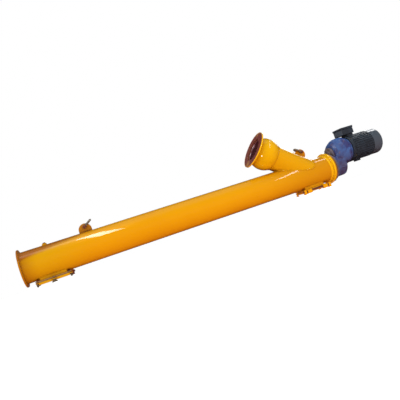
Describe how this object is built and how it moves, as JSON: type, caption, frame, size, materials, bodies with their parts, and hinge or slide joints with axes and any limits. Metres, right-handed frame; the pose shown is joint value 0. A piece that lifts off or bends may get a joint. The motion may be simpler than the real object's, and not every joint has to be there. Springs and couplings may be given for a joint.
{
  "type": "tubular screw conveyor",
  "caption": "Tubular screw conveyor with a ball inlet on a slanting branch, hinged inspection hatches, lifting shackles and an offset geared motor drive.",
  "frame": {"origin": "on the outer face of the discharge flange, at the lowest point of its ring, 120 mm below the casing's axis", "axes": "+X along the casing from the discharge flange to the drive, +Z to the side of the lifting lugs and the inlet, +Y across"},
  "size_m": [3.056, 0.302, 0.6041],
  "materials": {
    "yellow_enamel": "glossy yellow-orange enamel",
    "red_primer": "dark red primer",
    "blue_enamel": "blue machine enamel",
    "brown_primer": "brown-grey primer on a casting",
    "motor_paint": "dark blue-grey motor paint",
    "cowl_paint": "grey paint on pressed steel",
    "black_rubber": "dark gasket rubber",
    "zinc_steel": "dull galvanised steel",
    "bright_steel": "steel worn bright by powder",
    "rusty_steel": "brown rust over old paint"
  },
  "bodies": {
    "casing": {"discharge_tube": "yellow_enamel", "middle_tube": "yellow_enamel", "inlet_tube": "yellow_enamel", "discharge_flange": "yellow_enamel", "drive_flange": "yellow_enamel", "drive_end_plate": "yellow_enamel", "grease_boss": "yellow_enamel", "screw_shaft": "bright_steel", "discharge_flight": "bright_steel", "middle_flight": "bright_steel", "inlet_flight": "bright_steel", "hanger_bearing": "brown_primer", "inlet_branch": "yellow_enamel", "inlet_ball": "yellow_enamel", "inlet_collar": "yellow_enamel", "inlet_flange": "red_primer", "discharge_lug": "yellow_enamel", "inlet_lug": "yellow_enamel", "discharge_hatch_frame": "yellow_enamel", "discharge_hatch_gasket": "black_rubber", "discharge_hatch_rod": "rusty_steel", "inlet_hatch_frame": "yellow_enamel", "inlet_hatch_gasket": "black_rubber", "inlet_hatch_rod": "rusty_steel", "gear_adapter": "motor_paint", "gear_lower_housing": "blue_enamel", "gear_bearing_cap": "brown_primer", "gear_upper_housing": "blue_enamel", "motor_end_shield": "motor_paint", "motor_stator": "motor_paint", "motor_fan_cowl": "cowl_paint", "terminal_box": "motor_paint", "terminal_box_lid": "motor_paint"},
    "discharge_hatch": {"discharge_hatch_cover": "yellow_enamel", "discharge_wing_screw_1": "zinc_steel", "discharge_wing_screw_2": "zinc_steel", "discharge_wing_screw_3": "zinc_steel"},
    "inlet_hatch": {"inlet_hatch_cover": "yellow_enamel", "inlet_wing_screw_1": "zinc_steel", "inlet_wing_screw_2": "zinc_steel", "inlet_wing_screw_3": "zinc_steel"},
    "discharge_shackle": {"discharge_shackle_bow": "zinc_steel", "discharge_shackle_pin": "zinc_steel"},
    "inlet_shackle": {"inlet_shackle_bow": "zinc_steel", "inlet_shackle_pin": "zinc_steel"}
  },
  "joints": [
    {"name": "discharge_hatch_hinge", "type": "hinge", "parent": "casing", "child": "discharge_hatch", "pos_m": [0.181, 0.085, -0.0065], "axis": [1, 0, 0], "range_deg": [0, 100]},
    {"name": "inlet_hatch_hinge", "type": "hinge", "parent": "casing", "child": "inlet_hatch", "pos_m": [2.296, -0.085, -0.0065], "axis": [1, 0, 0], "range_deg": [-100, 0]},
    {"name": "discharge_shackle_swing", "type": "hinge", "parent": "casing", "child": "discharge_shackle", "pos_m": [0.468, 0, 0.2655], "axis": [0, 1, 0], "range_deg": [-155, 45]},
    {"name": "inlet_shackle_swing", "type": "hinge", "parent": "casing", "child": "inlet_shackle", "pos_m": [2.30845, 0, 0.31707], "axis": [0, 1, 0], "range_deg": [-10, 185]}
  ]
}
